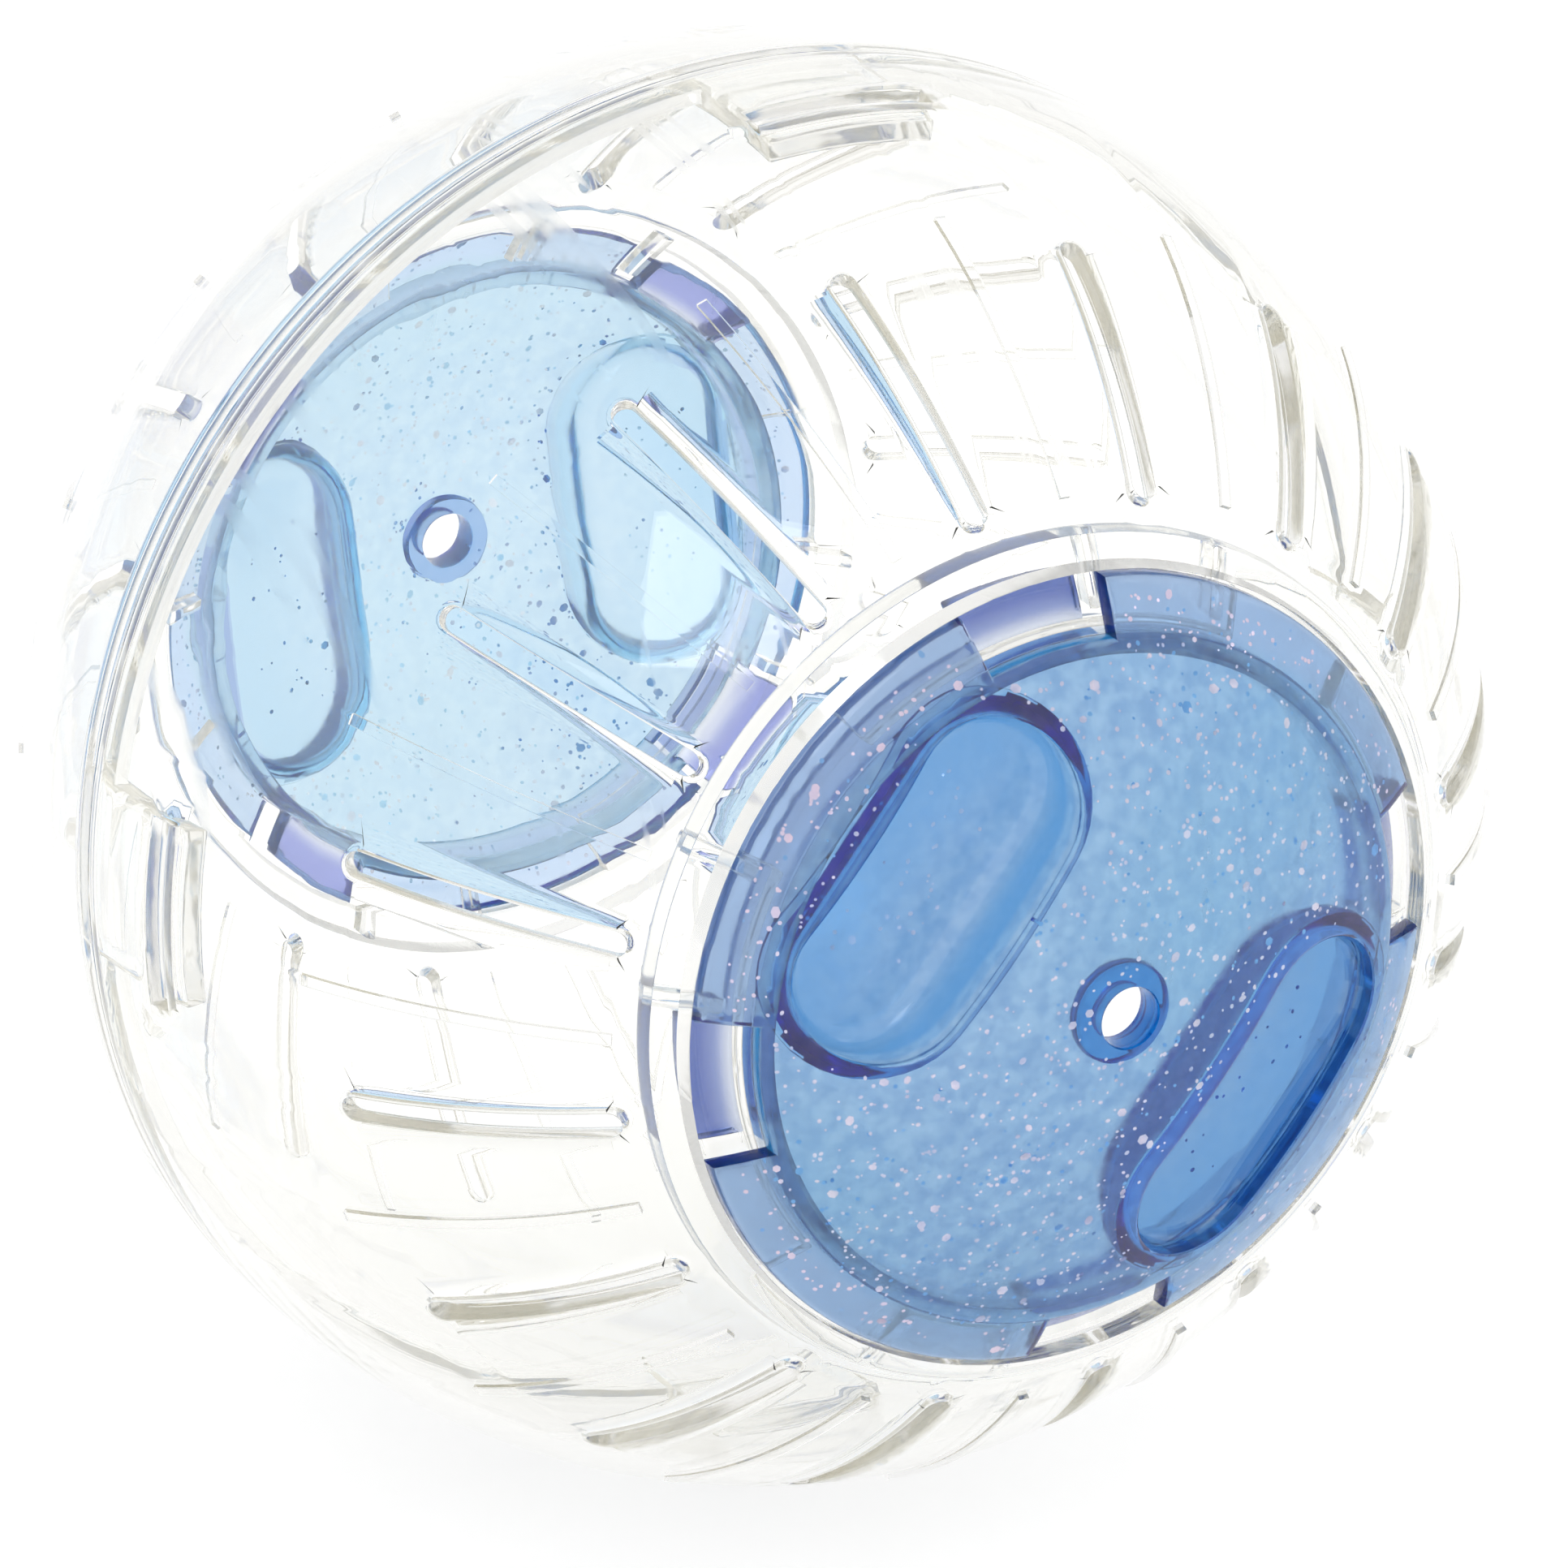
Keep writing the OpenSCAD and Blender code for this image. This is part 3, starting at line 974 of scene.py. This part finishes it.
class Nodes:
    """Short calls that add nodes to a tree and wire them."""

    def __init__(self, tree):
        self.tree = tree

    def add(self, kind, settings=None, **inputs):
        node = self.tree.nodes.new("ShaderNode" + kind)
        for name, value in (settings or {}).items():
            setattr(node, name, value)
        for name, value in inputs.items():
            self.feed(node, name.replace("_", " "), value)
        return node

    def feed(self, node, name, value):
        socket = node.inputs[int(name)] if name.isdigit() else node.inputs[name]
        if isinstance(value, bpy.types.NodeSocket):
            self.tree.links.new(value, socket)
        else:
            socket.default_value = value

    def math(self, operation, *values, clamp=False):
        node = self.tree.nodes.new("ShaderNodeMath")
        node.operation, node.use_clamp = operation, clamp
        for i, value in enumerate(values):
            self.feed(node, str(i), value)
        return node.outputs[0]

    def mix(self, factor, a, b):
        node = self.tree.nodes.new("ShaderNodeMix")
        node.data_type = "RGBA"
        for name, value in (("Factor", factor), ("A", a), ("B", b)):
            socket = next(s for s in node.inputs if s.enabled and s.name == name)
            if isinstance(value, bpy.types.NodeSocket):
                self.tree.links.new(value, socket)
            else:
                socket.default_value = value
        return next(s for s in node.outputs if s.enabled)

    def span(self, value, low, high, to_low=0.0, to_high=1.0):
        """Carries a value from one range to another, smoothly and held at both ends."""
        node = self.tree.nodes.new("ShaderNodeMapRange")
        node.interpolation_type = "SMOOTHSTEP"
        for i, each in enumerate((value, low, high, to_low, to_high)):
            self.feed(node, str(i), each)
        return node.outputs[0]


def walls_group():
    """How far a surface leans from lying square to the ball's radius, as slot walls and rims do."""
    group, _, out = new_group("Walls across the ball", {}, {"Mask": "value"})
    n = Nodes(group)
    place = n.add("TexCoord").outputs["Object"]
    radius = n.add("VectorMath", {"operation": "NORMALIZE"}, **{"0": place}).outputs[0]
    normal = n.add("NewGeometry").outputs["Normal"]
    to_object = {"vector_type": "NORMAL", "convert_from": "WORLD", "convert_to": "OBJECT"}
    turned = n.add("VectorTransform", to_object, Vector=normal)
    unit = n.add("VectorMath", {"operation": "NORMALIZE"}, **{"0": turned.outputs[0]}).outputs[0]
    square = n.add("VectorMath", {"operation": "DOT_PRODUCT"}, **{"0": radius, "1": unit}).outputs["Value"]
    mask = n.span(n.math("ABSOLUTE", square), low=0.80, high=0.97, to_low=1.0, to_high=0.0)
    group.links.new(mask, out.inputs["Mask"])
    return group


def moulding_group():
    """Faint waviness of a moulded surface, soft haze, and hairline rubs from handling."""
    outputs = {"Height": "value", "Haze": "value", "Rubs": "value"}
    group, _, out = new_group("Moulded and handled", {}, outputs)
    n = Nodes(group)
    place = n.add("TexCoord").outputs["Object"]
    waves = n.add("TexNoise", Vector=place, Scale=60.0, Detail=0.0).outputs[0]
    clouds = n.add("TexNoise", Vector=place, Scale=34.0, Detail=1.0).outputs[0]
    haze = n.span(clouds, low=0.35, high=0.72)
    laid = n.add("Mapping", Vector=place, Rotation=(0.5, 0.9, 0.2), Scale=(900.0, 42.0, 60.0))
    streak = n.add("TexNoise", Vector=laid.outputs[0], Scale=1.0, Detail=0.0).outputs[0]
    rubs = n.math("MULTIPLY", n.span(streak, low=0.64, high=0.72), haze)
    group.links.new(waves, out.inputs["Height"])
    group.links.new(haze, out.inputs["Haze"])
    group.links.new(rubs, out.inputs["Rubs"])
    return group


# Where a lid's tints come in, as distances from the ball's middle or axis, and how strongly: painted shade
# in the cups, and a painted rim band
SKY_SHARE = 0.5
CUP_FADE_RS = (LID_INNER_R - 1.0, LID_INNER_R - 0.2)
CUP_RISE_RS = (POCKET_FLOOR_Z, LID_INNER_R - 2.0)
CUP_SHADE_LOW = 0.3
CUP_SHADE_HIGH = 0.9
RIM_LIGHT_RISE_RS = (SKIRT_R - 0.6, SKIRT_R + 1.4)


def pearly_group():
    """Colours of a lid: a pearly mottle, painted shade in its cups and on its edges, and a painted rim
    band, a sheen on the dome and shade on the skirt.
    """
    tints = ("Deep", "Pearl", "Sky", "Cup", "Rim", "Edge")
    inputs = {"Haze": "value", **{tint: "colour" for tint in tints}}
    group, given, out = new_group("Pearly lid", inputs, {"Colour": "colour", "Mottle": "value"})
    n = Nodes(group)
    place = n.add("TexCoord").outputs["Object"]
    grain = n.add("TexNoise", Vector=place, Scale=620.0, Detail=1.0).outputs[0]
    mottle = n.span(grain, low=0.36, high=0.66)
    body = n.mix(mottle, given.outputs["Deep"], given.outputs["Pearl"])
    body = n.mix(n.math("MULTIPLY", given.outputs["Haze"], SKY_SHARE), body, given.outputs["Sky"])

    # Painted shade below the dome's underside, in the cups, rising towards the dome.
    from_middle = n.add("VectorMath", {"operation": "LENGTH"}, **{"0": place}).outputs["Value"]
    cup_fade = [r * MM for r in CUP_FADE_RS]
    below_dome = n.span(from_middle, *cup_fade, to_low=1.0, to_high=0.0)
    cup_rise = [r * MM for r in CUP_RISE_RS]
    outwards = n.span(from_middle, *cup_rise, to_low=CUP_SHADE_LOW, to_high=CUP_SHADE_HIGH)
    body = n.mix(n.math("MULTIPLY", below_dome, outwards), body, given.outputs["Cup"])

    # The rim band: a painted sheen on the dome's rim, and painted shade on the skirt's lugs.
    plan = n.add("VectorMath", {"operation": "MULTIPLY"}, **{"0": place, "1": (1.0, 0.0, 1.0)}).outputs[0]
    from_axis = n.add("VectorMath", {"operation": "LENGTH"}, **{"0": plan}).outputs["Value"]
    rim = n.span(from_axis, *(r * MM for r in RIM_LIGHT_RISE_RS))
    body = n.mix(rim, body, given.outputs["Rim"])
    # Painted shade on the lid's edge walls, by each face's mark.
    edges = n.add("Attribute", {"attribute_name": "Edges"}).outputs["Fac"]
    group.links.new(n.mix(edges, body, given.outputs["Edge"]), out.inputs["Colour"])
    group.links.new(mottle, out.inputs["Mottle"])
    return group


WALLS = walls_group()
MOULDING = moulding_group()
PEARLY = pearly_group()


def new_material(name):
    material = bpy.data.materials.new(name)
    material.use_nodes = True
    tree = material.node_tree
    tree.nodes.clear()
    n = Nodes(tree)
    shader = n.add("BsdfPrincipled")
    output = n.add("OutputMaterial")
    tree.links.new(shader.outputs[0], output.inputs["Surface"])
    return material, n, shader, output


def use_group(n, group, **inputs):
    node = n.tree.nodes.new("ShaderNodeGroup")
    node.node_tree = group
    for name, value in inputs.items():
        n.feed(node, name, value)
    return node


# Clear plastic where it is clean, hazy, and on the walls of its slots, where the greyer tint is painted
# shade
CLEAN_CLEAR = (0.997, 0.997, 0.984, 1)
HAZY_CLEAR = (0.990, 0.989, 0.974, 1)
SHADED_WALL_CLEAR = (0.975, 0.972, 0.965, 1)

# Roughness of the lids' skin, and what rubs, slot walls and mottle add to a skin
SKIN_ROUGHNESS = 0.08
RUB_ROUGHNESS = 0.12
WALL_ROUGHNESS = 0.12
MOTTLE_ROUGHNESS = 0.10


def clear_plastic():
    """Clear polished plastic, faintly warm where it is thick, with painted shade greying the walls of its
    slots.
    """
    material, n, shader, output = new_material("clear_plastic")
    skin = use_group(n, MOULDING).outputs
    walls = use_group(n, WALLS).outputs["Mask"]
    clean = n.mix(skin["Haze"], CLEAN_CLEAR, HAZY_CLEAR)
    # Painted shade: the slot walls are tinted grey.
    n.feed(shader, "Base Color", n.mix(walls, clean, SHADED_WALL_CLEAR))
    rubbed = n.math("MULTIPLY", skin["Rubs"], RUB_ROUGHNESS)
    n.feed(shader, "Roughness", n.math("ADD", rubbed, n.math("MULTIPLY", walls, WALL_ROUGHNESS)))
    bump = n.add("Bump", Strength=0.2, Distance=0.0003, Height=skin["Height"])
    n.feed(shader, "Normal", bump.outputs[0])
    n.feed(shader, "Transmission Weight", 1.0)
    n.feed(shader, "IOR", 1.49)
    tint = n.add("VolumeAbsorption", Color=(0.90, 0.89, 0.84, 1), Density=24.0)
    n.tree.links.new(tint.outputs[0], output.inputs["Volume"])
    return material


def lid_plastic(name, density, tints):
    """Slightly milky blue plastic, deepest in colour where it is thick."""
    material, n, shader, output = new_material(name)
    skin = use_group(n, MOULDING).outputs
    colours = {part: (*tint, 1) for part, tint in tints.items()}
    pearl = use_group(n, PEARLY, Haze=skin["Haze"], **colours).outputs
    n.feed(shader, "Base Color", pearl["Colour"])
    rubbed = n.math("ADD", SKIN_ROUGHNESS, n.math("MULTIPLY", skin["Rubs"], RUB_ROUGHNESS))
    mottled = n.math("MULTIPLY", pearl["Mottle"], MOTTLE_ROUGHNESS)
    n.feed(shader, "Roughness", n.math("ADD", rubbed, mottled))
    bump = n.add("Bump", Strength=0.25, Distance=0.0003, Height=skin["Height"])
    n.feed(shader, "Normal", bump.outputs[0])
    n.feed(shader, "Transmission Weight", 0.94)
    n.feed(shader, "IOR", 1.5)
    tint = n.add("VolumeAbsorption", Color=(0.06, 0.72, 0.96, 1), Density=density)
    n.tree.links.new(tint.outputs[0], output.inputs["Volume"])
    return material


# Sides in metres of the cells of space whose flakes share one tone
FLAKE_CELL = (0.0012, 0.0012, 0.0012)


def silver_flake():
    """Bright silvered foil whose flakes differ in tone."""
    material, n, shader, _ = new_material("silver_flake")
    place = n.add("TexCoord").outputs["Object"]
    cell = n.add("VectorMath", {"operation": "SNAP"}, **{"0": place, "1": FLAKE_CELL}).outputs[0]
    tone = n.add("TexWhiteNoise", Vector=cell).outputs[0]
    n.feed(shader, "Base Color", n.mix(tone, (0.88, 0.94, 1.0, 1), (1.0, 1.0, 1.0, 1)))
    n.feed(shader, "Roughness", n.span(tone, low=0.0, high=1.0, to_low=0.06, to_high=0.22))
    n.feed(shader, "Metallic", 1.0)
    return material


# Tints of the near lid, of the far lid, whose copy is painted paler as if lit from behind through the
# ball, and of their skirts, painted lighter
# In every set, the cup tint is painted shade in the pockets, the rim tint a painted sheen on the dome's
# rim and painted shade on the skirt's lugs, and the edge tint painted shade on the edge walls.
NEAR_TINTS = {
    "Deep": (0.53, 0.51, 0.68),
    "Pearl": (0.82, 0.70, 0.81),
    "Sky": (0.60, 0.65, 0.76),
    "Cup": (0.27, 0.44, 0.72),
    "Rim": (0.84, 0.64, 0.76),
    "Edge": (0.01, 0.22, 0.58),
}
# Painted light: the far lid's tints are a paler, backlit copy of the near lid's.
BACKLIT_FAR_TINTS = {
    "Deep": (0.78, 0.83, 0.93),
    "Pearl": (0.90, 0.92, 0.98),
    "Sky": (0.82, 0.89, 0.95),
    "Cup": (0.66, 0.80, 0.93),
    "Rim": (0.88, 0.86, 1.0),
    "Edge": (0.35, 0.42, 0.75),
}
# Painted light on the skirts: their body is painted almost white to lift it, and their lug band and edges
# are painted dark as shade.
SKIRT_PAINTED_LIGHT_TINTS = {
    "Deep": (0.94, 0.96, 1.0),
    "Pearl": (0.97, 0.98, 1.0),
    "Sky": (0.94, 0.96, 1.0),
    "Cup": (0.94, 0.96, 1.0),
    "Rim": (0.10, 0.16, 0.50),
    "Edge": (0.03, 0.12, 0.46),
}
BACKLIT_SKIRT_TINTS = {**SKIRT_PAINTED_LIGHT_TINTS, "Rim": (0.36, 0.40, 0.80), "Edge": (0.16, 0.24, 0.60)}
CLEAR_PLASTIC = clear_plastic()
BLUE = lid_plastic("blue_plastic", density=560.0, tints=NEAR_TINTS)
# A backlit copy of the lid plastic for the far lid, painted paler and with less absorption.
BACKLIT_BLUE = lid_plastic("backlit_blue_plastic", density=200.0, tints=BACKLIT_FAR_TINTS)
# Copies for the skirts, with little absorption, carry that painted light and shade.
SKIRT_BLUE = lid_plastic("skirt_plastic", density=30.0, tints=SKIRT_PAINTED_LIGHT_TINTS)
BACKLIT_SKIRT_BLUE = lid_plastic("backlit_skirt_plastic", density=30.0, tints=BACKLIT_SKIRT_TINTS)
FLAKE = silver_flake()


def dress(piece, material, body, node=None):
    piece.data.materials.clear()
    piece.data.materials.append(material)
    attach(piece, body)
    if node:
        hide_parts(node)


dress(front_half, CLEAR_PLASTIC, "shell", "front_shell")
dress(rear_half, CLEAR_PLASTIC, "shell", "rear_shell")
dress(front_cap, BLUE, "front_lid", "front_lid")
dress(rear_cap, BACKLIT_BLUE, "rear_lid", "rear_lid")
dress(front_skirt, SKIRT_BLUE, "front_lid")
dress(rear_skirt, BACKLIT_SKIRT_BLUE, "rear_lid")
dress(front_glitter, FLAKE, "front_lid")
dress(rear_glitter, FLAKE, "rear_lid")


# Studio: a white floor and surround, a soft key light and a fill
FLOOR_SIDE = 12.0
WHITE_SURROUND = 1.0
SOFT_SURROUND = 0.78
FLOOR_GLOW = 0.78
DARK_PAPER = (0.39, 0.39, 0.39)
LIGHT_PAPER = (0.41, 0.41, 0.41)


def seen_directly(n):
    """One for camera, glossy and transmission rays, which see the white surround as it is."""
    path = n.add("LightPath").outputs
    seen = n.math("MAXIMUM", path["Is Camera Ray"], path["Is Glossy Ray"])
    return n.math("MAXIMUM", seen, path["Is Transmission Ray"])


def light_world():
    world = bpy.data.worlds.new("white_surround")
    bpy.context.scene.world = world
    world.use_nodes = True
    n = Nodes(world.node_tree)
    background = world.node_tree.nodes["Background"]
    background.inputs["Color"].default_value = (1, 1, 1, 1)
    seen = seen_directly(n)
    strength = n.span(seen, low=0.0, high=1.0, to_low=SOFT_SURROUND, to_high=WHITE_SURROUND)
    n.feed(background, "Strength", strength)
    world.cycles.sampling_method = "NONE"


def lay_floor():
    bpy.ops.mesh.primitive_plane_add(size=FLOOR_SIDE, location=(0, 0, 0))
    floor = bpy.context.object
    floor.name = floor.data.name = "floor"
    floor.data.transform(Matrix.Translation((0, 0, -BALL_R * MM)))
    material = bpy.data.materials.new("white_floor")
    material.use_nodes = True
    tree = material.node_tree
    tree.nodes.clear()
    n = Nodes(tree)
    grain = n.add("TexNoise", Vector=n.add("TexCoord").outputs["Object"], Scale=300.0).outputs[0]
    paper = n.mix(grain, (*DARK_PAPER, 1), (*LIGHT_PAPER, 1))
    matt = n.add("BsdfDiffuse", Color=paper)
    glow = n.add("Emission", Color=(1, 1, 1, 1), Strength=n.math("MULTIPLY", seen_directly(n), FLOOR_GLOW))
    both = n.add("AddShader", **{"0": matt.outputs[0], "1": glow.outputs[0]})
    output = n.add("OutputMaterial")
    tree.links.new(both.outputs[0], output.inputs["Surface"])
    floor.data.materials.append(material)


def add_area_light(name, place, size, power):
    data = bpy.data.lights.new(name, "AREA")
    data.shape, data.size, data.energy = "SQUARE", size, power
    light = bpy.data.objects.new(name, data)
    bpy.context.collection.objects.link(light)
    light.location = place
    light.rotation_euler = Vector(place).to_track_quat("Z", "Y").to_euler()


light_world()
lay_floor()
add_area_light("key_light", (-0.55, -0.75, 0.95), size=0.55, power=2.2)
add_area_light("fill_light", (0.9, -0.35, 0.7), size=0.6, power=1.0)


# Camera: from the front left and above, close behind a long lens, with the ball a little up and left
IMAGE_SIDE = 1932
FOCAL_PX = 9877
SENSOR = 36.0
DISTANCE = 0.66
BALL_AT_PX = (930, 931)
BACK = Vector((-0.458, -0.808, 0.370)).normalized()
UP = Vector((0.154, 0.338, 0.928))


def set_camera():
    data = bpy.data.cameras.new("camera")
    data.sensor_width = SENSOR
    data.lens = SENSOR * FOCAL_PX / IMAGE_SIDE
    data.clip_start, data.clip_end = 0.05, 50
    camera = bpy.data.objects.new("camera", data)
    bpy.context.collection.objects.link(camera)
    right = UP.cross(BACK).normalized()
    up = BACK.cross(right)
    middle = IMAGE_SIDE / 2
    aside = (BALL_AT_PX[0] - middle) / FOCAL_PX * DISTANCE
    above = (middle - BALL_AT_PX[1]) / FOCAL_PX * DISTANCE
    place = BACK * DISTANCE - right * aside - up * above
    turn = Matrix((right, up, BACK)).transposed().to_4x4()
    camera.matrix_world = Matrix.Translation(place) @ turn
    bpy.context.scene.camera = camera


# Light that runs along inside clear walls turns many times before it comes out
BOUNCES = 96

set_camera()
scene = bpy.context.scene
scene.view_settings.view_transform = "Standard"
scene.cycles.max_bounces = BOUNCES
scene.cycles.transmission_bounces = BOUNCES
scene.cycles.glossy_bounces = BOUNCES
